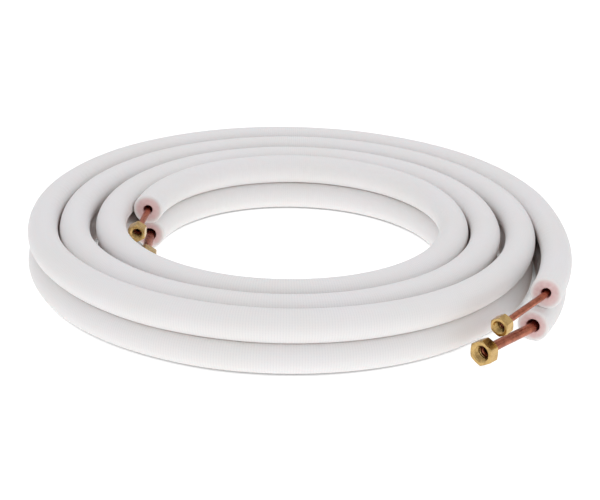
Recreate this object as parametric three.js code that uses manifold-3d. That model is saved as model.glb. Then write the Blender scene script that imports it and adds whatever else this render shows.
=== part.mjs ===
// Mini split line set: a small liquid line and a larger suction line, each a copper tube in a
// white foam sleeve. The two sleeves are bonded one on top of the other and wound into one flat
// coil that lies on the floor. Both ends of both tubes stick out of the foam, are flared, and
// carry a flare nut that turns on the tube. The solids of each sleeve and tube are cut into
// lengths of about half a turn, so that none of them closes round the coil's middle.
// Units are millimetres and degrees, +Z is up, and the open ends head towards -Y.

import * as THREE from 'three';
import { mergeVertices } from 'three/addons/utils/BufferGeometryUtils.js';
import Module from 'manifold-3d';

const wasm = await Module();
wasm.setup();

// Foam sleeves
const sleeveDiameter = 30;
const liquidBoreDiameter = 9.5;
const suctionBoreDiameter = 13;

// Copper tubes
const liquidTubeDiameter = 6.35;
const suctionTubeDiameter = 9.52;
const tubeWall = 0.8;
const liquidFlareGrowth = 1.3;
const suctionFlareGrowth = 1.8;

// Clearances
const touchGap = 0.3;
const runningClearance = 0.25;

// Coil. Each turn lies near its own circle, and the line steps in from one to the next over
// the same stretch of every turn. A gap is the space to the turn outside it, and a shift is how
// far the turn's circle lies from the middle of the outer turn.
const outerTurnRadius = 272;
const secondTurnGap = 2.7;
const thirdTurnGap = 7.8;
const fourthTurnGap = 1.5;
const secondTurnShiftX = 1.5;
const secondTurnShiftY = -5.5;
const thirdTurnShiftX = 2;
const thirdTurnShiftY = -6.2;
const fourthTurnShiftY = -6;
const stepInStart = 198;
const stepInSpan = 157;
const turnOval = 0.0435;
const coilHeading = 20;

// Each line's outer end swings outwards, and its inner end inwards, by its reach at the mouth
const outerSwingStart = 12;
const liquidOuterReach = 27.4;
const suctionOuterReach = 22.6;
const innerSwingStart = 1180;
const liquidInnerReach = 3.9;
const suctionInnerReach = 4.2;

// Ends of the sleeves, as angles along the coil
const liquidOuterEnd = -36.5;
const suctionOuterEnd = -39;
const liquidInnerEnd = 1251.5;
const suctionInnerEnd = 1249;

// Where the sleeves and tubes are cut into lengths of about half a turn
const cutAngles = [120, 285, 435, 600, 765, 930, 1080];

// Bare tube past the foam. It bends in plan as it leaves the mouth, anticlockwise as seen from
// above where its bend is positive, and the small tube droops.
const liquidBareOuter = 74;
const suctionBareOuter = 77.5;
const liquidBareInner = 53;
const suctionBareInner = 64;
const liquidOuterBend = -17.5;
const suctionOuterBend = -14.5;
const liquidInnerBend = 0;
const suctionInnerBend = 9;
const liquidOuterDroop = 6;
const liquidInnerDroop = 4.5;

// Flare nuts
const liquidNut = {
  acrossFlats: 17, hexLength: 11, coneLength: 4, socketDiameter: 10.6, socketDepth: 8, rearWall: 2,
};
const suctionNut = {
  acrossFlats: 22, hexLength: 12, coneLength: 5, socketDiameter: 15.2, socketDepth: 9, rearWall: 2.2,
};
const mouthChamfer = 0.8;
const cornerChamferAngle = 30;

// Facets
const stationStep = 15;
const shortestStep = 3;
const sleeveSides = 12;
const boreSides = 6;
const tubeSides = 8;
const tubeBoreSides = 6;
const nutFacets = 24;
const tangentSpan = 0.5;
const cavityOvershoot = 1;

const fullTurn = 360;
const radians = THREE.MathUtils.degToRad;
const up = new THREE.Vector3(0, 0, 1);
const suctionHeight = sleeveDiameter / 2;
const liquidHeight = suctionHeight + sleeveDiameter + touchGap;

const foam = new THREE.MeshStandardMaterial({ color: 0xe6e5e8, roughness: 0.75, metalness: 0 });
const copper = new THREE.MeshStandardMaterial({ color: 0xb8735a, roughness: 0.35, metalness: 1 });
const brass = new THREE.MeshStandardMaterial({ color: 0xc8a35c, roughness: 0.3, metalness: 1 });

// Centreline of the coil, seen from above

const secondTurnRadius = outerTurnRadius - sleeveDiameter - secondTurnGap;
const thirdTurnRadius = secondTurnRadius - sleeveDiameter - thirdTurnGap;
const fourthTurnRadius = thirdTurnRadius - sleeveDiameter - fourthTurnGap;
const turns = [
  { radius: outerTurnRadius, x: 0, y: 0 },
  { radius: secondTurnRadius, x: secondTurnShiftX, y: secondTurnShiftY },
  { radius: thirdTurnRadius, x: thirdTurnShiftX, y: thirdTurnShiftY },
  { radius: fourthTurnRadius, x: 0, y: fourthTurnShiftY },
];

function stepsTaken(angle, turn) {
  return THREE.MathUtils.smoothstep(angle - stepInStart - fullTurn * turn, 0, stepInSpan);
}

function turnValue(angle, key) {
  let value = turns[0][key];
  for (let turn = 1; turn < turns.length; turn += 1) {
    value += (turns[turn][key] - turns[turn - 1][key]) * stepsTaken(angle, turn - 1);
  }
  return value;
}

// How far past its start a swing has come at an angle, from 0 to 1 at the mouth, squared
function swing(angle, start, mouth) {
  return (Math.max(0, (angle - start) / (mouth - start))) ** 2;
}

function coilPoint(angle, line) {
  const oval = 1 - turnOval * Math.cos(2 * radians(angle));
  const outwards = line.outerReach * swing(angle, outerSwingStart, line.outerEnd);
  const inwards = line.innerReach * swing(angle, innerSwingStart, line.innerEnd);
  const radius = turnValue(angle, 'radius') * oval + outwards - inwards;
  return new THREE.Vector3(
    turnValue(angle, 'x') + radius * Math.cos(radians(angle)),
    turnValue(angle, 'y') + radius * Math.sin(radians(angle)),
    line.height,
  );
}

// The way the line runs as its angle grows
function coilTangent(angle, line) {
  const ahead = coilPoint(angle + tangentSpan, line);
  return ahead.sub(coilPoint(angle - tangentSpan, line)).normalize();
}

// Stations along one length: one at each step of angle and one at each end, so that
// neighbouring turns have their facets side by side
function stationAngles(start, end) {
  const angles = [start];
  const first = Math.floor(start / stationStep) + 1;
  for (let index = first; index * stationStep < end; index += 1) {
    const angle = index * stationStep;
    const nearAnEnd = Math.min(angle - start, end - angle) < shortestStep;
    if (!nearAnEnd) angles.push(angle);
  }
  angles.push(end);
  return angles;
}

// The lengths of a line, each as its stations' angles. A cut is as wide as the touching gap.
function lengthsOf(line) {
  const halfCut = (angle) => THREE.MathUtils.radToDeg(touchGap / 2 / turnValue(angle, 'radius'));
  const starts = [line.outerEnd, ...cutAngles.map((angle) => angle + halfCut(angle))];
  const ends = [...cutAngles.map((angle) => angle - halfCut(angle)), line.innerEnd];
  return starts.map((start, index) => stationAngles(start, ends[index]));
}

// A route through given points that turns at each one by half the corner's angle
class Route extends THREE.Curve {
  constructor(points, startTangent, endTangent) {
    super();
    this.points = points;
    this.tangents = points.map((point, index) => {
      if (index === 0) return startTangent.clone();
      if (index === points.length - 1) return endTangent.clone();
      const before = point.clone().sub(points[index - 1]).normalize();
      const after = points[index + 1].clone().sub(point).normalize();
      return before.add(after).normalize();
    });
  }

  indexAt(u) {
    return Math.round(u * (this.points.length - 1));
  }

  getPoint(t, target = new THREE.Vector3()) {
    return target.copy(this.points[this.indexAt(t)]);
  }

  getPointAt(u, target) {
    return this.getPoint(u, target);
  }

  getTangentAt(u, target = new THREE.Vector3()) {
    return target.copy(this.tangents[this.indexAt(u)]);
  }
}

// Sections, as polygons with a flat side facing down

function polygon(path, corner, sides) {
  for (let index = 0; index < sides; index += 1) {
    const angle = ((index + 0.5) * 2 * Math.PI) / sides;
    const x = corner * Math.cos(angle);
    const y = corner * Math.sin(angle);
    if (index === 0) path.moveTo(x, y);
    else path.lineTo(x, y);
  }
  path.closePath();
  return path;
}

function cornerRadius(acrossFlats, sides) {
  return acrossFlats / 2 / Math.cos(Math.PI / sides);
}

function ringSection(outerRadius, outerSides, innerRadius, innerSides) {
  const shape = polygon(new THREE.Shape(), outerRadius, outerSides);
  shape.holes.push(polygon(new THREE.Path(), innerRadius, innerSides));
  return shape;
}

function sweep(section, route) {
  const steps = route.points.length - 1;
  return new THREE.ExtrudeGeometry(section, { steps, extrudePath: route });
}

// The far ends of one line: where its sleeve stops and how its bare tube goes on

function lineEnds(line) {
  const outerOut = coilTangent(line.outerEnd, line).negate();
  const innerOut = coilTangent(line.innerEnd, line);
  return {
    outer: bareEnd(coilPoint(line.outerEnd, line), outerOut, line.outerBare, line.flareGrowth),
    inner: bareEnd(coilPoint(line.innerEnd, line), innerOut, line.innerBare, line.flareGrowth),
  };
}

function bareEnd(mouth, sleeveOut, bare, flareGrowth) {
  const level = sleeveOut.clone().applyAxisAngle(up, radians(bare.bend));
  const droop = radians(bare.droop);
  const out = level.multiplyScalar(Math.cos(droop)).addScaledVector(up, -Math.sin(droop));
  const tip = mouth.clone().addScaledVector(out, bare.length);
  const neck = tip.clone().addScaledVector(out, -flareGrowth);
  return { out, tip, neck };
}

// The way the line runs at the first or last station of one of its lengths
function endTangents(line, angles) {
  const first = angles[0];
  const last = angles[angles.length - 1];
  return { start: coilTangent(first, line), finish: coilTangent(last, line) };
}

function sleeveGeometry(line, angles) {
  const points = angles.map((angle) => coilPoint(angle, line));
  const { start, finish } = endTangents(line, angles);
  const section = ringSection(
    cornerRadius(sleeveDiameter, sleeveSides),
    sleeveSides,
    cornerRadius(line.boreDiameter, boreSides),
    boreSides,
  );
  return sweep(section, new Route(points, start, finish));
}

// The tube widens to a 45 degree flare: the ring at each tip moves out by the flare's growth
function flareTip(geometry, end, tubeRadius, growth) {
  const position = geometry.attributes.position;
  const vertex = new THREE.Vector3();
  for (let index = 0; index < position.count; index += 1) {
    vertex.fromBufferAttribute(position, index).sub(end.tip);
    const isTip = Math.abs(vertex.dot(end.out)) < growth / 2 && vertex.length() < tubeRadius + growth;
    if (isTip) {
      vertex.setLength(vertex.length() + growth).add(end.tip);
      position.setXYZ(index, vertex.x, vertex.y, vertex.z);
    }
  }
}

function tubeGeometry(line, ends, angles) {
  const points = angles.map((angle) => coilPoint(angle, line));
  const { start, finish } = endTangents(line, angles);
  const isOuter = angles[0] === line.outerEnd;
  const isInner = angles[angles.length - 1] === line.innerEnd;
  if (isOuter) points.unshift(ends.outer.tip, ends.outer.neck);
  if (isInner) points.push(ends.inner.neck, ends.inner.tip);
  const route = new Route(
    points,
    isOuter ? ends.outer.out.clone().negate() : start,
    isInner ? ends.inner.out : finish,
  );
  const radius = line.tubeDiameter / 2;
  const section = ringSection(radius, tubeSides, radius - tubeWall, tubeBoreSides);
  const geometry = sweep(section, route);
  if (isOuter) flareTip(geometry, ends.outer, radius, line.flareGrowth);
  if (isInner) flareTip(geometry, ends.inner, radius, line.flareGrowth);
  return geometry;
}

// Flare nut, made along +Z from its mouth at z = 0 back to its rear, then turned into place

function solidFrom(geometry) {
  geometry.deleteAttribute('normal');
  geometry.deleteAttribute('uv');
  const merged = mergeVertices(geometry, 1e-5);
  return new wasm.Manifold(new wasm.Mesh({
    numProp: 3,
    vertProperties: new Float32Array(merged.attributes.position.array),
    triVerts: new Uint32Array(merged.index.array),
  }));
}

function geometryFrom(solid) {
  const mesh = solid.getMesh();
  const geometry = new THREE.BufferGeometry();
  geometry.setAttribute('position', new THREE.BufferAttribute(mesh.vertProperties, 3));
  geometry.setIndex(new THREE.BufferAttribute(mesh.triVerts, 1));
  return geometry;
}

// A solid turned about +Z from a profile of radius and height pairs that starts and ends on
// the axis, its lowest point first
function turned(profile) {
  const points = profile.map(([radius, height]) => new THREE.Vector2(radius, height));
  return solidFrom(new THREE.LatheGeometry(points, nutFacets).rotateX(Math.PI / 2));
}

function nutGeometry(line) {
  const { acrossFlats, hexLength, coneLength, socketDiameter, socketDepth, rearWall } = line.nut;
  const length = hexLength + coneLength;
  const flat = acrossFlats / 2;
  const corner = cornerRadius(acrossFlats, 6);
  const chamfer = (corner - flat) * Math.tan(radians(cornerChamferAngle));
  const facetShare = Math.cos(Math.PI / nutFacets);

  const boreRadius = (line.tubeDiameter / 2 + runningClearance) / facetShare;
  const socketRadius = socketDiameter / 2;
  const flareRadius = line.tubeDiameter / 2 + line.flareGrowth;
  const seatStart = socketDepth + flareRadius - socketRadius * facetShare + touchGap * Math.SQRT2;
  const seatEnd = seatStart + socketRadius - boreRadius;

  const hex = solidFrom(new THREE.ExtrudeGeometry(
    polygon(new THREE.Shape(), corner, 6),
    { depth: length, bevelEnabled: false },
  ));
  const envelope = turned([
    [0, 0],
    [flat, 0],
    [corner + touchGap, chamfer],
    [corner + touchGap, hexLength - chamfer],
    [flat, hexLength],
    [boreRadius + rearWall, length],
    [0, length],
  ]);
  const cavity = turned([
    [0, -cavityOvershoot],
    [socketRadius + mouthChamfer + cavityOvershoot, -cavityOvershoot],
    [socketRadius, mouthChamfer],
    [socketRadius, seatStart],
    [boreRadius, seatEnd],
    [boreRadius, length + cavityOvershoot],
    [0, length + cavityOvershoot],
  ]);
  return geometryFrom(hex.intersect(envelope).subtract(cavity));
}

// The mouth lies past the tube's tip by the socket's depth, the nut's own +Z runs back along
// the tube, and one corner of the hexagon points up
function placeNut(mesh, line, end) {
  const back = end.out.clone().negate();
  const side = up.clone().cross(back).normalize();
  const top = back.clone().cross(side);
  mesh.position.copy(end.tip).addScaledVector(end.out, line.nut.socketDepth);
  mesh.setRotationFromMatrix(new THREE.Matrix4().makeBasis(side, top, back));
}

const lines = [
  {
    name: 'liquid',
    height: liquidHeight,
    boreDiameter: liquidBoreDiameter,
    tubeDiameter: liquidTubeDiameter,
    flareGrowth: liquidFlareGrowth,
    outerEnd: liquidOuterEnd,
    innerEnd: liquidInnerEnd,
    outerReach: liquidOuterReach,
    innerReach: liquidInnerReach,
    outerBare: { length: liquidBareOuter, bend: liquidOuterBend, droop: liquidOuterDroop },
    innerBare: { length: liquidBareInner, bend: liquidInnerBend, droop: liquidInnerDroop },
    nut: liquidNut,
  },
  {
    name: 'suction',
    height: suctionHeight,
    boreDiameter: suctionBoreDiameter,
    tubeDiameter: suctionTubeDiameter,
    flareGrowth: suctionFlareGrowth,
    outerEnd: suctionOuterEnd,
    innerEnd: suctionInnerEnd,
    outerReach: suctionOuterReach,
    innerReach: suctionInnerReach,
    outerBare: { length: suctionBareOuter, bend: suctionOuterBend, droop: 0 },
    innerBare: { length: suctionBareInner, bend: suctionInnerBend, droop: 0 },
    nut: suctionNut,
  },
];

function namedMesh(name, geometry, material) {
  const mesh = new THREE.Mesh(geometry, material);
  mesh.name = name;
  return mesh;
}

function buildLine(line) {
  const ends = lineEnds(line);
  const group = new THREE.Group();
  lengthsOf(line).forEach((angles, index) => {
    const tube = tubeGeometry(line, ends, angles);
    const sleeve = sleeveGeometry(line, angles);
    group.add(namedMesh(`${line.name}_tube_length_${index + 1}`, tube, copper.clone()));
    group.add(namedMesh(`${line.name}_insulation_length_${index + 1}`, sleeve, foam.clone()));
  });
  for (const side of ['outer', 'inner']) {
    const nut = namedMesh(`${line.name}_nut_${side}`, nutGeometry(line), brass.clone());
    placeNut(nut, line, ends[side]);
    group.add(nut);
  }
  return group;
}

const coil = new THREE.Group();
for (const line of lines) coil.add(buildLine(line));
coil.rotation.z = radians(coilHeading);

// The origin is under the middle of the whole object, on the floor
const lineSet = new THREE.Group();
lineSet.add(coil);
lineSet.updateMatrixWorld(true);
const bounds = new THREE.Box3().setFromObject(lineSet, true);
const middle = bounds.getCenter(new THREE.Vector3());
coil.position.set(-middle.x, -middle.y, -bounds.min.z);

export default lineSet;
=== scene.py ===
import math

import bpy
import numpy as np
from mathutils import Matrix, Vector


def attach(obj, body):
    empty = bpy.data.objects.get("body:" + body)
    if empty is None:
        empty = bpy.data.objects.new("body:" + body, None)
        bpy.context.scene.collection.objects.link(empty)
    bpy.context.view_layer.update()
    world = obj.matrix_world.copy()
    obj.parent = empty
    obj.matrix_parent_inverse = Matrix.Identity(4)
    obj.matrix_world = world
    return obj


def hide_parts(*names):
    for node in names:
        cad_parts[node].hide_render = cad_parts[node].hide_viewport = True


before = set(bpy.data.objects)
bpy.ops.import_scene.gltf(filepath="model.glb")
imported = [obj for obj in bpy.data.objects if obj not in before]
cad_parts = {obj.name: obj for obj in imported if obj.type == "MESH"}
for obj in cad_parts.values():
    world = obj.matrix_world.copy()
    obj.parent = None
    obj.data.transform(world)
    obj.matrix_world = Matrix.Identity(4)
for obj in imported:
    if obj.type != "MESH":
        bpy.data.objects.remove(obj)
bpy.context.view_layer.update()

# Mini split line set: two insulated copper lines, one above the other, wound into a flat coil.
# Sizes are in millimetres and degrees here and are turned into metres as each mesh is made.

MM = 0.001
COIL_HEADING = 20.0
COIL_SHIFT = (-10.8949, -4.3973, 0.0)

# Coil: each turn lies near its own circle (radius, x, y)
TURNS = ((272.0, 0.0, 0.0), (239.3, 1.5, -5.5), (201.5, 2.0, -6.2), (170.0, 0.0, -6.0))
STEP_IN_START, STEP_IN_SPAN = 198.0, 157.0
TURN_OVAL = 0.0435
OUTER_SWING_START, INNER_SWING_START = 12.0, 1180.0

SLEEVE_RADIUS = 15.2
SEAM_HEIGHT = 30.15
SEAM_FULLNESS = 0.04
TUBE_WALL = 0.8

LIQUID = dict(
    name="liquid", height=45.3, bore=4.75, tube=3.175, flare=1.3,
    outer_end=-36.5, outer_reach=27.4, outer_bare=(74.0, -17.5, 6.0),
    inner_end=1251.5, inner_reach=3.9, inner_bare=(53.0, 0.0, 4.5), sag=1.2, waver=0.4,
    nut=dict(flats=17.0, hex=11.0, cone=4.0, depth=8.0, rear=2.0, minor=4.95, major=5.55,
             pitch=1.27),
)
SUCTION = dict(
    name="suction", height=15.0, bore=6.5, tube=4.76, flare=1.8,
    outer_end=-39.0, outer_reach=22.6, outer_bare=(77.5, -14.5, 0.0),
    inner_end=1249.0, inner_reach=4.2, inner_bare=(64.0, 9.0, 0.0), sag=1.4, waver=2.1,
    nut=dict(flats=22.0, hex=12.0, cone=5.0, depth=9.0, rear=2.2, minor=7.15, major=7.95,
             pitch=1.411),
)

# Foam sleeve: rounded rims, rings where the cut face turns from white to pink, and unevenness
RIM_RADIUS, BORE_LIP_RADIUS = 1.5, 0.6
FACE_RINGS = ((13.0, 0.30), (12.0, 0.60), (10.8, 0.85), (9.0, 1.0))
LIP_TO_FACE = 1.6
BORE_SHADE_DEPTHS = ((3.0, 0.8), (6.0, 1.0))
BORE_STATION, BORE_START = 22.0, 16.0
SWELL, SWELL_WAVES = 0.10, (310.0, 173.0, 97.0)
SWAY, SWAY_WAVES = 0.35, (420.0, 233.0, 151.0)
OVAL_UNEVENNESS, OVAL_WAVE = 0.06, 61.0
LOBE_UNEVENNESS, LOBE_WAVE = 0.05, 37.0
CUT_TILT, CUT_RIPPLE = 0.35, 0.2

# Copper tube: where it settles from its sag in the bore, and the profile of a flare
BARE_STATION, BORE_REACH, FAR_STATION = 1.5, 60.0, 9.0
SAG_SETTLES = 0.8
SMOOTHING_PASSES = 12
FLARE_NECK = 1.2

SLEEVE_STATION = 4.2
SLEEVE_SEGMENTS = 48
TUBE_SEGMENTS = 32
NUT_SEGMENTS = 216


# Centreline

def turn_value(angle, key):
    value = np.full_like(angle, TURNS[0][key])
    for turn in range(1, len(TURNS)):
        x = np.clip((angle - STEP_IN_START - 360.0 * (turn - 1)) / STEP_IN_SPAN, 0.0, 1.0)
        value += (TURNS[turn][key] - TURNS[turn - 1][key]) * x * x * (3.0 - 2.0 * x)
    return value


def swing(angle, start, mouth):
    return np.maximum(0.0, (angle - start) / (mouth - start)) ** 2


def coil_points(angle, line):
    turn = np.radians(angle)
    radius = turn_value(angle, 0) * (1.0 - TURN_OVAL * np.cos(2.0 * turn))
    radius += line["outer_reach"] * swing(angle, OUTER_SWING_START, line["outer_end"])
    radius -= line["inner_reach"] * swing(angle, INNER_SWING_START, line["inner_end"])
    x = turn_value(angle, 1) + radius * np.cos(turn)
    y = turn_value(angle, 2) + radius * np.sin(turn)
    return np.stack([x, y, np.full_like(x, line["height"])], axis=-1)


class Centreline:
    """The line's middle by arc length, from s = 0 at the outer mouth to s = length."""

    def __init__(self, line):
        spare = 2.0
        angle = np.arange(line["outer_end"] - spare, line["inner_end"] + spare, 0.1)
        points = coil_points(angle, line)
        steps = np.linalg.norm(np.diff(points, axis=0), axis=1)
        arc = np.concatenate([[0.0], np.cumsum(steps)])
        start = np.interp(line["outer_end"], angle, arc)
        self.arc = arc - start
        self.points = points
        self.length = float(np.interp(line["inner_end"], angle, self.arc))

    def at(self, s):
        return np.stack([np.interp(s, self.arc, self.points[:, k]) for k in range(3)], axis=-1)

    def tangent(self, s):
        ahead = self.at(s + 2.0) - self.at(s - 2.0)
        return ahead / np.linalg.norm(ahead, axis=-1, keepdims=True)


def unit(v):
    return v / np.linalg.norm(v)


def turned_about_z(v, degrees):
    c, s = math.cos(math.radians(degrees)), math.sin(math.radians(degrees))
    return np.array([c * v[0] - s * v[1], s * v[0] + c * v[1], v[2]])


def bare_end(line, centre, side):
    length, bend, fall = line[f"{side}_bare"]
    s, sign = (0.0, -1.0) if side == "outer" else (centre.length, 1.0)
    mouth = centre.at(np.array([s]))[0]
    level = turned_about_z(sign * centre.tangent(np.array([s]))[0], bend)
    droop = math.radians(fall)
    out = unit(level * math.cos(droop) + np.array([0.0, 0.0, -math.sin(droop)]))
    return dict(mouth=mouth, out=out, tip=mouth + out * length, length=length)


# Meshes

def to_row(points):
    c, s = math.cos(math.radians(COIL_HEADING)), math.sin(math.radians(COIL_HEADING))
    x = c * points[..., 0] - s * points[..., 1] + COIL_SHIFT[0]
    y = s * points[..., 0] + c * points[..., 1] + COIL_SHIFT[1]
    return np.stack([x, y, points[..., 2] + COIL_SHIFT[2]], axis=-1) * MM


def grid_mesh(name, rings, along, around, attributes=None):
    """A closed mesh from rings of points, the last joined to the first. along and around go to
    the corners as UV coordinates; along has one value per ring, around one more than the ring
    has points."""
    n, m, _ = rings.shape
    i, j = np.meshgrid(np.arange(n), np.arange(m), indexing="ij")
    i2, j2 = (i + 1) % n, (j + 1) % m
    faces = np.stack([i * m + j, i * m + j2, i2 * m + j2, i2 * m + j], axis=-1).reshape(-1, 4)
    mesh = bpy.data.meshes.new(name)
    mesh.vertices.add(n * m)
    mesh.vertices.foreach_set("co", rings.reshape(-1).astype(np.float32))
    mesh.loops.add(faces.size)
    mesh.loops.foreach_set("vertex_index", faces.reshape(-1).astype(np.int32))
    mesh.polygons.add(len(faces))
    starts = np.arange(0, faces.size, 4, dtype=np.int32)
    mesh.polygons.foreach_set("loop_start", starts)
    mesh.update(calc_edges=True)
    u = np.stack([along[i], along[i], along[i2], along[i2]], axis=-1)
    v = np.stack([around[j], around[j + 1], around[j + 1], around[j]], axis=-1)
    layer = mesh.uv_layers.new(name="UVMap")
    layer.data.foreach_set("uv", np.stack([u, v], axis=-1).reshape(-1).astype(np.float32))
    for key, values in (attributes or {}).items():
        attribute = mesh.attributes.new(key, "FLOAT", "POINT")
        spread = np.repeat(np.asarray(values, dtype=np.float32), m)
        attribute.data.foreach_set("value", spread)
    mesh.polygons.foreach_set("use_smooth", np.ones(len(faces), dtype=bool))
    mesh.validate()
    mesh.update()
    return mesh


def piece(name, mesh, material, body, nodes, place=Matrix.Identity(4)):
    obj = bpy.data.objects.new(name, mesh)
    bpy.context.scene.collection.objects.link(obj)
    mesh.materials.append(material)
    obj.matrix_world = place
    bpy.context.view_layer.update()
    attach(obj, body)
    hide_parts(*nodes)
    return obj


def nodes_named(*words):
    return [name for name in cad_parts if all(word in name for word in words)]


def slow_noise(s, phase, waves):
    """A smooth unevenness of about +-1 along the line."""
    total = sum(np.sin(s / wave * 2.0 * math.pi + phase * (k + 1.7) * 2.3)
                for k, wave in enumerate(waves))
    return total / len(waves)


def sleeve_mesh(line, centre):
    length = centre.length
    rim, lip = RIM_RADIUS, BORE_LIP_RADIUS
    skin_radius, bore = SLEEVE_RADIUS, line["bore"]
    lower = line["name"] == "suction"
    # one (s, radius, pink, painted bore shade, skin) per ring, from the outer end's skin round to
    # its face
    spec = []
    count = int((length - 2.0 * rim) / SLEEVE_STATION)
    for s in np.linspace(rim, length - rim, count):
        spec.append((s, skin_radius, 0.0, 0.0, 1.0))

    def face(end, inward):
        rows = []
        for k in range(1, 5):
            t = k / 4.0 * math.pi / 2.0
            rows.append((end + inward * rim * (1.0 - math.sin(t)),
                         skin_radius - rim * (1.0 - math.cos(t)), 0.10 * k / 4.0, 0.0, 0.0))
        for radius, pink in FACE_RINGS + ((bore + LIP_TO_FACE, 1.0),):
            rows.append((end, radius, pink, 0.0, 0.0))
        # from the lip down into the bore the fourth value grows, painting shade that darkens with
        # depth
        for k in range(0, 4):
            t = k / 3.0 * math.pi / 2.0
            rows.append((end + inward * lip * (1.0 - math.cos(t)),
                         bore + lip * (1.0 - math.sin(t)), 1.0, 0.15 + 0.2 * k / 3.0, 0.0))
        for depth, shade in BORE_SHADE_DEPTHS:
            rows.append((end + inward * depth, bore, 1.0, shade, 0.0))
        return rows

    spec += face(length, -1.0)
    # the bore itself is given full painted shade
    for s in np.linspace(length - BORE_START, BORE_START, int(length / BORE_STATION)):
        spec.append((s, bore, 1.0, 1.0, 0.0))
    spec += face(0.0, 1.0)[::-1]
    s, radius, pink, painted_bore_shade, skin = (np.array(column, dtype=float) for column in zip(*spec))

    phi = np.linspace(0.0, 2.0 * math.pi, SLEEVE_SEGMENTS + 1)
    turn = phi[:-1][None, :]
    middle = centre.at(s)
    tangent = centre.tangent(s)
    outward = np.stack([tangent[:, 1], -tangent[:, 0], np.zeros_like(s)], axis=-1)
    seed = line["waver"]
    swell = SWELL * slow_noise(s, seed, SWELL_WAVES) * skin
    uneven = OVAL_UNEVENNESS * np.sin(2.0 * turn + s[:, None] / OVAL_WAVE + seed)
    uneven += LOBE_UNEVENNESS * np.sin(3.0 * turn - s[:, None] / LOBE_WAVE + seed * 2.0)
    r = radius[:, None] + swell[:, None] + uneven * skin[:, None]
    sway = SWAY * slow_noise(s, seed + 3.0, SWAY_WAVES)
    on_face = (pink > 0.02) & (painted_bore_shade < 0.6)
    cut = CUT_TILT * np.sin(turn + seed) + CUT_RIPPLE * np.sin(2.0 * turn - seed)
    across = r * np.cos(turn) + sway[:, None]
    rings = middle[:, None, :] + outward[:, None, :] * across[..., None]
    # fuller towards the other sleeve, so that the two meet along a flat band
    rise = r * np.sin(turn)
    toward = np.sin(turn) * (1.0 if lower else -1.0) > 0.0
    fullness = SEAM_FULLNESS * np.clip((radius - bore) / (skin_radius - bore), 0.0, 1.0)
    rings[..., 2] += rise * (1.0 + fullness[:, None] * toward)
    rings += tangent[:, None, :] * (cut * on_face[:, None])[..., None]
    # the lower sleeve rests on the floor and both end at the seam
    low, high = (0.0, SEAM_HEIGHT) if lower else (SEAM_HEIGHT, np.inf)
    rings[..., 2] = np.clip(rings[..., 2], low, high)
    return grid_mesh(f"{line['name']}_sleeve", to_row(rings)[:, ::-1], s * MM,
                     phi[::-1].copy(), {"pink": pink, "painted_bore_shade": painted_bore_shade})


def tube_path(line, centre, ends):
    """Points every few millimetres from the outer tip to the inner tip."""
    sag = np.array([0.0, 0.0, -line["sag"]])

    def bare(end):
        t = np.arange(0.0, end["length"] - 1.0, BARE_STATION)
        rise = np.clip(t / (SAG_SETTLES * end["length"]), 0.0, 1.0)
        rise = rise * rise * (3.0 - 2.0 * rise)
        return end["mouth"] + t[:, None] * end["out"] + (1.0 - rise)[:, None] * sag

    near = np.arange(BARE_STATION, BORE_REACH, BARE_STATION)
    far = np.linspace(BORE_REACH, centre.length - BORE_REACH, int(centre.length / FAR_STATION))
    s = np.concatenate([near, far, centre.length - near[::-1]])
    path = np.concatenate([bare(ends["outer"])[::-1], centre.at(s) + sag, bare(ends["inner"])])
    for _ in range(SMOOTHING_PASSES):
        path[1:-1] = 0.25 * path[:-2] + 0.5 * path[1:-1] + 0.25 * path[2:]
    return np.concatenate([[ends["outer"]["tip"]], path, [ends["inner"]["tip"]]])


def tube_mesh(line, centre, ends):
    path = tube_path(line, centre, ends)
    radius, flare = line["tube"], line["flare"]
    path, tangent = path[1:-1], np.gradient(path, axis=0)[1:-1]
    tangent /= np.linalg.norm(tangent, axis=1, keepdims=True)
    phi = np.linspace(0.0, 2.0 * math.pi, TUBE_SEGMENTS + 1)
    c, sn = np.cos(phi[:-1]), np.sin(phi[:-1])

    def ring(point, direction, r):
        side = unit(np.cross(direction, [0.0, 0.0, 1.0]))
        over = np.cross(side, direction)
        return point + r * (c[:, None] * side + sn[:, None] * over)

    def flared(end, direction, inner):
        """Rings of one flare, from the neck to the tip."""
        rows = []
        wall = TUBE_WALL if inner else 0.0
        for back, grown in ((flare + FLARE_NECK, 0.0), (flare + 0.3, 0.02), (flare, 0.12),
                            (flare * 0.75, 0.32), (flare * 0.4, 0.68), (0.12, 0.93),
                            (0.0, 0.86)):
            grown = grown * flare
            at = end["tip"] - end["out"] * (back + (0.35 * wall if back > 0.2 else 0.0))
            rows.append(ring(at, direction, radius + grown - wall * (1.0 if back > 0.2 else 0.4)))
        return rows

    steps = np.concatenate([[0.0], np.cumsum(np.linalg.norm(np.diff(path, axis=0), axis=1))])
    outer_rows = [ring(p, d, radius) for p, d in zip(path, tangent)]
    inner_rows = [ring(p, d, radius - TUBE_WALL) for p, d in zip(path[::4], tangent[::4])][::-1]
    outer, inner = ends["outer"], ends["inner"]
    first = flared(outer, -outer["out"], False)[::-1]
    last = flared(inner, inner["out"], False)
    last_in = flared(inner, inner["out"], True)[::-1]
    first_in = flared(outer, -outer["out"], True)
    keep = slice(3, -3)
    rings = first + outer_rows[keep] + last + last_in + inner_rows[1:-1] + first_in
    end_s = steps[-1]
    along = ([0.0] * len(first) + list(steps[keep]) + [end_s] * (len(last) + len(last_in))
             + list(steps[::4][::-1][1:-1]) + [0.0] * len(first_in))
    rings = to_row(np.array(rings))
    return grid_mesh(f"{line['name']}_tube_look", rings[:, ::-1], np.array(along) * MM,
                     phi[::-1].copy())


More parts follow.
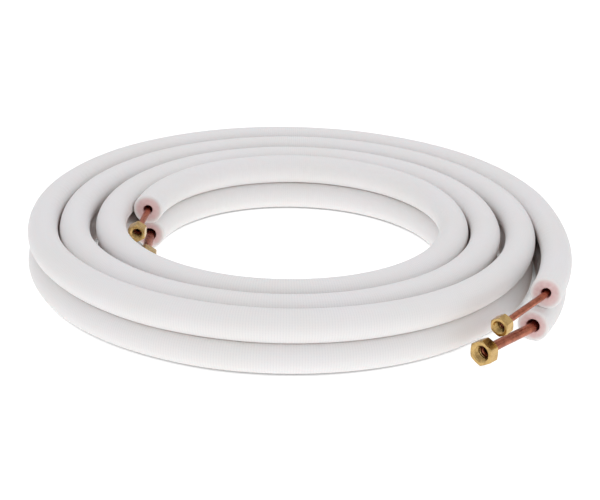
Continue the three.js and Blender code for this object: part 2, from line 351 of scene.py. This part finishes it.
def nut_mesh(line, name):
    """The nut along +Z from its mouth at z = 0 back to its rear, in millimetres."""
    nut = line["nut"]
    flat, length = nut["flats"] / 2.0, nut["hex"] + nut["cone"]
    corner = flat / math.cos(math.pi / 6.0)
    rise = (corner - flat) * math.tan(math.radians(30.0))
    phi = np.linspace(0.0, 2.0 * math.pi, NUT_SEGMENTS + 1)
    turn = phi[:-1]
    # flats face 0, 60, 120 ... degrees, so that a corner points at 90
    wedge = ((turn + math.pi / 6.0) % (math.pi / 3.0)) - math.pi / 6.0
    hexagon = flat / np.cos(wedge)
    hexagon = np.minimum(hexagon, corner - 0.18)
    bore = line["tube"] + 0.25
    rings, along = [], []

    def add(z, r):
        z = np.full_like(turn, z) if np.isscalar(z) else z
        r = np.full_like(turn, r) if np.isscalar(r) else r
        rings.append(np.stack([r * np.cos(turn), r * np.sin(turn), z], axis=-1))
        along.append(len(rings))

    def limited(z, top):
        """The hexagon, held inside a turned outline by a small smooth edge."""
        k = 0.12
        h = np.clip(0.5 + 0.5 * (top - hexagon) / k, 0.0, 1.0)
        return top * (1.0 - h) + hexagon * h - k * h * (1.0 - h)

    # front face, from the mouth's edge outwards
    edge = nut["major"] + 0.75
    add(0.55, nut["major"] + 0.05)
    add(0.12, edge - 0.22)
    add(0.02, edge)
    for t in (0.25, 0.5, 0.75):
        add(0.0, edge + (flat - 0.35 - edge) * t)
    add(0.0, flat - 0.35)
    add(0.04, flat - 0.12)
    for t in np.linspace(0.0, 1.0, 12):
        z = 0.1 + (rise - 0.1) * t
        add(z, limited(z, flat + (corner - flat) * (z / rise)))
    for z in np.linspace(rise + 0.25, nut["hex"] - rise - 0.25, 9):
        add(z, limited(z, corner + 1.0))
    for t in np.linspace(0.0, 1.0, 12):
        z = nut["hex"] - rise + rise * t
        add(z, limited(z, flat + (corner - flat) * (nut["hex"] - z) / rise))
    shoulder = bore + nut["rear"]
    # the rear shoulder: a small step, then a slightly hollow cone
    add(nut["hex"] + 0.05, flat - 0.5)
    for t in np.linspace(0.0, 1.0, 8):
        r = flat - 0.7 + (shoulder + 0.25 - (flat - 0.7)) * t ** 0.85
        add(nut["hex"] + 0.15 + (nut["cone"] - 0.45) * t, r)
    add(length - 0.12, shoulder)
    add(length, shoulder - 0.25)
    add(length, bore + 0.35)
    add(length - 0.2, bore + 0.05)
    seat = nut["depth"] + line["tube"] + line["flare"] - nut["minor"] + 0.45
    seat_end = seat + nut["minor"] - bore
    add(seat_end + 0.1, bore)
    add(seat_end, bore + 0.05)
    add(seat, nut["minor"])
    # the thread, from the seat's relief to the mouth
    add(seat - 0.1, nut["major"] - 0.1)
    first, last = seat - 1.4, 0.7
    for z in np.linspace(first, last, int((first - last) / nut["pitch"] * 14.0)):
        phase = (z / nut["pitch"] - turn / (2.0 * math.pi)) % 1.0
        ridge = np.clip(np.abs(phase - 0.5) * 2.4 - 0.1, 0.0, 1.0)
        add(z, nut["minor"] + (nut["major"] - nut["minor"]) * ridge)
    mesh = grid_mesh(name, np.array(rings) * MM, np.array(along) * MM, phi)
    mesh.set_sharp_from_angle(angle=math.radians(32.0))
    return mesh


# Materials

class Nodes:
    """A small helper that makes shader nodes and joins them."""

    def __init__(self, name):
        self.material = bpy.data.materials.new(name)
        self.material.use_nodes = True
        self.tree = self.material.node_tree
        self.tree.nodes.clear()
        self.output = self.new("ShaderNodeOutputMaterial")

    def new(self, kind, inputs=None, **settings):
        node = self.tree.nodes.new(kind)
        for key, value in settings.items():
            setattr(node, key, value)
        for key, value in (inputs or {}).items():
            self.put(node.inputs[key], value)
        return node

    def put(self, socket, value):
        if hasattr(value, "is_output"):
            self.tree.links.new(value, socket)
        elif isinstance(value, bpy.types.Node):
            self.tree.links.new(value.outputs[0], socket)
        else:
            socket.default_value = value

    def maths(self, operation, a, b=0.0, c=0.0):
        node = self.new("ShaderNodeMath", operation=operation)
        for socket, value in zip(node.inputs, (a, b, c)):
            self.put(socket, value)
        return node.outputs[0]

    def mix(self, factor, a, b, blend="MIX"):
        node = self.new("ShaderNodeMix", data_type="RGBA", blend_type=blend)
        self.put(node.inputs["Factor"], factor)
        self.put([s for s in node.inputs if s.name == "A" and s.type == "RGBA"][0], a)
        self.put([s for s in node.inputs if s.name == "B" and s.type == "RGBA"][0], b)
        return [s for s in node.outputs if s.type == "RGBA"][0]

    def ranged(self, value, low, high, to_low, to_high):
        return self.new("ShaderNodeMapRange", {
            "Value": value, "From Min": low, "From Max": high, "To Min": to_low, "To Max": to_high,
        }, interpolation_type="SMOOTHSTEP").outputs[0]

    def bump(self, strength, distance, height, under=None):
        inputs = {"Strength": strength, "Distance": distance, "Height": height}
        if under is not None:
            inputs["Normal"] = under
        return self.new("ShaderNodeBump", inputs)

    def open_air(self, distance):
        return self.new("ShaderNodeAmbientOcclusion", {"Distance": distance},
                        samples=OPEN_AIR_SAMPLES).outputs["AO"]

    def noise(self, vector, scale, detail=2.0, roughness=0.5):
        return self.new("ShaderNodeTexNoise", {
            "Vector": vector, "Scale": scale, "Detail": detail, "Roughness": roughness,
        }).outputs[0]


RIB_PITCH, TICKS_AROUND = 0.0024, 38.0
OPEN_AIR_SAMPLES = 8


def foam_material():
    n = Nodes("foam_skin")
    uv = n.new("ShaderNodeUVMap", uv_map="UVMap")
    split = n.new("ShaderNodeSeparateXYZ", {"Vector": uv.outputs[0]})
    along, around = split.outputs[0], split.outputs[1]
    place = n.new("ShaderNodeTexCoord").outputs["Object"]
    pink = n.new("ShaderNodeAttribute", attribute_name="pink").outputs["Fac"]
    painted_bore_shade = n.new("ShaderNodeAttribute", attribute_name="painted_bore_shade").outputs["Fac"]
    skin = n.maths("SUBTRACT", 1.0, pink)

    # embossed ribs across the sleeve, broken by ticks along it
    ribs = n.maths("SINE", n.maths("MULTIPLY", along, 2.0 * math.pi / RIB_PITCH))
    ticks = n.maths("SINE", n.maths("MULTIPLY", around, TICKS_AROUND))
    weave = n.maths("MULTIPLY", ribs, n.maths("MULTIPLY_ADD", ticks, 0.35, 0.65))
    emboss = n.maths("MULTIPLY", weave, skin)
    # wrinkles on the side that faces the coil's middle
    inner_side = n.ranged(n.maths("COSINE", around), -0.1, -0.9, 0.0, 1.0)
    wrap = n.new("ShaderNodeCombineXYZ", {
        "X": n.maths("MULTIPLY", along, 230.0), "Y": n.maths("MULTIPLY", around, 0.9), "Z": 0.0,
    }).outputs[0]
    folds = n.noise(wrap, 1.0, 2.0, 0.55)
    wrinkle = n.maths("MULTIPLY", n.maths("MULTIPLY", folds, inner_side), skin)
    dents = n.noise(place, 38.0, 2.0, 0.5)
    cells = n.new("ShaderNodeTexVoronoi", {"Vector": place, "Scale": 900.0}).outputs["Distance"]
    rough_cut = n.maths("MULTIPLY", n.maths("ADD", cells, n.noise(place, 420.0, 3.0, 0.6)), pink)

    embossed = n.bump(0.35, 0.00012, emboss)
    wrinkled = n.bump(0.5, 0.0014, wrinkle, embossed)
    dented = n.bump(0.30, 0.0012, dents, wrinkled)
    relief = n.bump(0.5, 0.0003, rough_cut, dented)

    # painted shade: a warm, darker tint down in the gaps between the turns, where little light
    # reaches, kept off the edge along the floor
    open_air = n.open_air(0.03)
    height = n.new("ShaderNodeSeparateXYZ", {"Vector": place}).outputs[2]
    painted_gap_shade = n.maths("MULTIPLY", n.ranged(open_air, 0.26, 0.02, 0.0, 0.80),
                     n.ranged(height, 0.004, 0.016, 0.15, 1.0))
    patch = n.ranged(n.noise(place, 14.0, 3.0, 0.55), 0.3, 0.7, 0.0, 1.0)
    white = n.mix(patch, (0.830, 0.812, 0.806, 1.0), (0.822, 0.806, 0.786, 1.0))
    # painted shade: the foam is darker down in the valleys between the embossed ribs
    painted_rib_shade = n.ranged(emboss, -1.0, 0.2, 0.35, 0.0)
    white = n.mix(painted_rib_shade, white, (0.70, 0.69, 0.70, 1.0))
    white = n.mix(painted_gap_shade, white, (0.60, 0.49, 0.45, 1.0))
    mottle = n.ranged(n.noise(place, 260.0, 3.0, 0.6), 0.3, 0.7, 0.0, 1.0)
    cut_pink = n.mix(mottle, (0.71, 0.49, 0.48, 1.0), (0.76, 0.58, 0.56, 1.0))
    # painted shade: the cut pink turns dark maroon down in the bore
    inside = n.mix(painted_bore_shade, cut_pink, (0.55, 0.15, 0.13, 1.0))
    colour = n.mix(pink, white, inside)
    shader = n.new("ShaderNodeBsdfPrincipled", {
        "Base Color": colour,
        "Roughness": n.ranged(emboss, -1.0, 1.0, 0.72, 0.58),
        "Specular IOR Level": 0.28,
        "Subsurface Weight": 0.2,
        "Subsurface Radius": (1.0, 0.6, 0.55),
        "Subsurface Scale": 0.003,
        "Normal": relief,
    })
    n.put(n.output.inputs["Surface"], shader)
    return n.material


def copper_material():
    n = Nodes("copper_tube")
    uv = n.new("ShaderNodeUVMap", uv_map="UVMap")
    split = n.new("ShaderNodeSeparateXYZ", {"Vector": uv.outputs[0]})
    place = n.new("ShaderNodeTexCoord").outputs["Object"]
    drawn = n.new("ShaderNodeCombineXYZ", {
        "X": n.maths("MULTIPLY", split.outputs[0], 16.0),
        "Y": n.maths("MULTIPLY", n.maths("SINE", split.outputs[1]), 9.0),
        "Z": n.maths("MULTIPLY", n.maths("COSINE", split.outputs[1]), 9.0),
    }).outputs[0]
    streaks = n.noise(drawn, 2.2, 4.0, 0.6)
    stain = n.ranged(n.noise(place, 90.0, 4.0, 0.6), 0.40, 0.68, 0.0, 1.0)
    base = n.mix(n.ranged(streaks, 0.35, 0.65, 0.0, 1.0),
                 (0.36, 0.105, 0.058, 1.0), (0.54, 0.20, 0.12, 1.0))
    colour = n.mix(n.maths("MULTIPLY", stain, 0.6), base, (0.20, 0.06, 0.035, 1.0))
    shader = n.new("ShaderNodeBsdfPrincipled", {
        "Base Color": colour, "Metallic": 1.0,
        "Roughness": n.ranged(n.noise(place, 160.0, 3.0, 0.6), 0.3, 0.7, 0.20, 0.36),
        "Normal": n.bump(0.25, 0.00015, streaks),
    })
    n.put(n.output.inputs["Surface"], shader)
    return n.material


def brass_material():
    n = Nodes("brass_nut")
    place = n.new("ShaderNodeTexCoord").outputs["Object"]
    split = n.new("ShaderNodeSeparateXYZ", {"Vector": place})
    x, y, z = split.outputs
    # fine turning marks round the nut's axis
    axis_distance = n.maths("SQRT", n.maths(
        "ADD", n.maths("MULTIPLY", x, x), n.maths("MULTIPLY", y, y)))
    lathe = n.new("ShaderNodeCombineXYZ", {
        "X": n.maths("MULTIPLY", axis_distance, 9000.0),
        "Y": n.maths("MULTIPLY", z, 5200.0),
        "Z": 0.0,
    }).outputs[0]
    marks = n.noise(lathe, 1.0, 2.0, 0.5)
    tarnish = n.ranged(n.noise(place, 120.0, 4.0, 0.55), 0.42, 0.70, 0.0, 1.0)
    base = n.mix(n.ranged(marks, 0.35, 0.65, 0.0, 1.0),
                 (0.50, 0.325, 0.115, 1.0), (0.66, 0.46, 0.20, 1.0))
    colour = n.mix(n.maths("MULTIPLY", tarnish, 0.5), base, (0.24, 0.135, 0.042, 1.0))
    # painted shade: darker down in the socket, where little light reaches
    painted_socket_shade = n.ranged(n.open_air(0.012), 0.55, 0.10, 0.0, 0.75)
    colour = n.mix(painted_socket_shade, colour, (0.14, 0.075, 0.025, 1.0))
    turned = n.bump(0.22, 0.0001, marks)
    scratches = n.bump(0.12, 0.0002, n.noise(place, 480.0, 3.0, 0.6), turned)
    shader = n.new("ShaderNodeBsdfPrincipled", {
        "Base Color": colour, "Metallic": 1.0,
        "Roughness": n.ranged(tarnish, 0.0, 1.0, 0.20, 0.34),
        "Normal": scratches,
    })
    n.put(n.output.inputs["Surface"], shader)
    return n.material


def floor_material():
    n = Nodes("studio_floor")
    # the floor glows evenly in the open; down in the gaps between the turns the glow is cut back,
    # which paints shade there
    glow_and_painted_gap_shade = n.ranged(n.open_air(0.035), 0.04, 0.22, 0.04, 0.90)
    shader = n.new("ShaderNodeBsdfPrincipled", {
        "Base Color": (0.34, 0.34, 0.34, 1.0), "Roughness": 1.0, "Specular IOR Level": 0.0,
        "Emission Color": (1.0, 1.0, 1.0, 1.0), "Emission Strength": glow_and_painted_gap_shade,
    })
    n.put(n.output.inputs["Surface"], shader)
    return n.material


# The object

HEADING = Matrix.Rotation(math.radians(COIL_HEADING), 4, "Z")


def nut_place(line, end):
    """Mouth outwards on the tube's end, with one corner of the hexagon up."""
    mouth = end["tip"] + end["out"] * line["nut"]["depth"]
    back = Vector(-end["out"])
    across = Vector((0.0, 0.0, 1.0)).cross(back).normalized()
    spin = Matrix((across, back.cross(across), back)).transposed().to_4x4()
    return Matrix.Translation(Vector(to_row(mouth))) @ HEADING @ spin


foam, copper, brass = foam_material(), copper_material(), brass_material()
for line in (LIQUID, SUCTION):
    name = line["name"]
    centre = Centreline(line)
    ends = {side: bare_end(line, centre, side) for side in ("outer", "inner")}
    sleeve = piece(f"{name}_sleeve", sleeve_mesh(line, centre), foam, "coil",
                   nodes_named(name, "insulation"))
    piece(f"{name}_pipe", tube_mesh(line, centre, ends), copper, "coil",
          nodes_named(name, "tube"))
    for side, end in ends.items():
        body = f"{name}_nut_{side}"
        piece(f"{name}_flare_nut_{side}", nut_mesh(line, f"{body}_look"), brass, body,
              nodes_named(name, f"nut_{side}"), nut_place(line, end))


# Floor, light and camera

def plane(name, size, centre, material):
    mesh = bpy.data.meshes.new(name)
    h = size / 2.0
    mesh.from_pydata([(-h, -h, 0.0), (h, -h, 0.0), (h, h, 0.0), (-h, h, 0.0)], [], [(0, 1, 2, 3)])
    mesh.materials.append(material)
    obj = bpy.data.objects.new(name, mesh)
    obj.location = centre
    bpy.context.scene.collection.objects.link(obj)
    return obj


FLOOR_SIZE, FLOOR_CENTRE = 14.0, (0.0, 2.0, -0.0004)
plane("floor", FLOOR_SIZE, FLOOR_CENTRE, floor_material())


def softbox(name, place, size, watts):
    """A rectangular light that points at the middle of the floor."""
    light = bpy.data.lights.new(name, "AREA")
    light.shape = "RECTANGLE"
    light.size, light.size_y = size
    light.energy = watts
    obj = bpy.data.objects.new(name, light)
    obj.location = place
    obj.rotation_euler = (-Vector(place)).to_track_quat("-Z", "Y").to_euler()
    bpy.context.scene.collection.objects.link(obj)


softbox("top_softbox", (-0.2, 0.5, 2.2), (1.8, 1.4), 7.0)
softbox("front_softbox", (1.2, -2.2, 0.7), (2.2, 1.0), 5.0)

# the room: a little darker at the level of the floor than overhead
LEVEL_TONE, OVERHEAD_TONE = (0.62, 0.62, 0.63, 1.0), (0.80, 0.80, 0.83, 1.0)
OVERHEAD_AT = 0.75

world = bpy.data.worlds.new("studio")
world.use_nodes = True
bpy.context.scene.world = world
tree = world.node_tree
tree.nodes.clear()
direction = tree.nodes.new("ShaderNodeTexCoord")
parts = tree.nodes.new("ShaderNodeSeparateXYZ")
tree.links.new(direction.outputs["Generated"], parts.inputs[0])
ramp = tree.nodes.new("ShaderNodeValToRGB")
level, overhead = ramp.color_ramp.elements
level.position, level.color = 0.0, LEVEL_TONE
overhead.position, overhead.color = OVERHEAD_AT, OVERHEAD_TONE
tree.links.new(parts.outputs[2], ramp.inputs[0])
background = tree.nodes.new("ShaderNodeBackground")
background.inputs["Strength"].default_value = 1.0
output = tree.nodes.new("ShaderNodeOutputWorld")
tree.links.new(ramp.outputs[0], background.inputs["Color"])
tree.links.new(background.outputs[0], output.inputs[0])

# The camera's place is in the coil's own millimetres, before COIL_HEADING and COIL_SHIFT.
CAMERA_TILT, CAMERA_ROLL = 20.2748, 1.927
CAMERA_EYE = (22.54, -1556.50, 614.50)
CAMERA_LENS, CAMERA_SENSOR = 95.485, 36.0
CAMERA_SHIFT = (-0.03065, -0.03983)

tilt, roll = math.radians(CAMERA_TILT), math.radians(CAMERA_ROLL)
right = Vector((1.0, 0.0, 0.0))
over = Vector((0.0, math.sin(tilt), math.cos(tilt)))
ahead = Vector((0.0, math.cos(tilt), -math.sin(tilt)))
view_x = right * math.cos(roll) + over * math.sin(roll)
view_y = over * math.cos(roll) - right * math.sin(roll)
turn = Matrix((view_x, view_y, -ahead)).transposed().to_4x4()
camera_data = bpy.data.cameras.new("camera")
camera_data.sensor_width = CAMERA_SENSOR
camera_data.lens = CAMERA_LENS
camera_data.shift_x, camera_data.shift_y = CAMERA_SHIFT
camera_data.clip_start = 0.05
camera = bpy.data.objects.new("camera", camera_data)
eye = Vector(to_row(np.array(CAMERA_EYE)))
camera.matrix_world = Matrix.Translation(eye) @ HEADING @ turn
bpy.context.scene.collection.objects.link(camera)
bpy.context.scene.camera = camera
bpy.context.scene.view_settings.view_transform = "Standard"
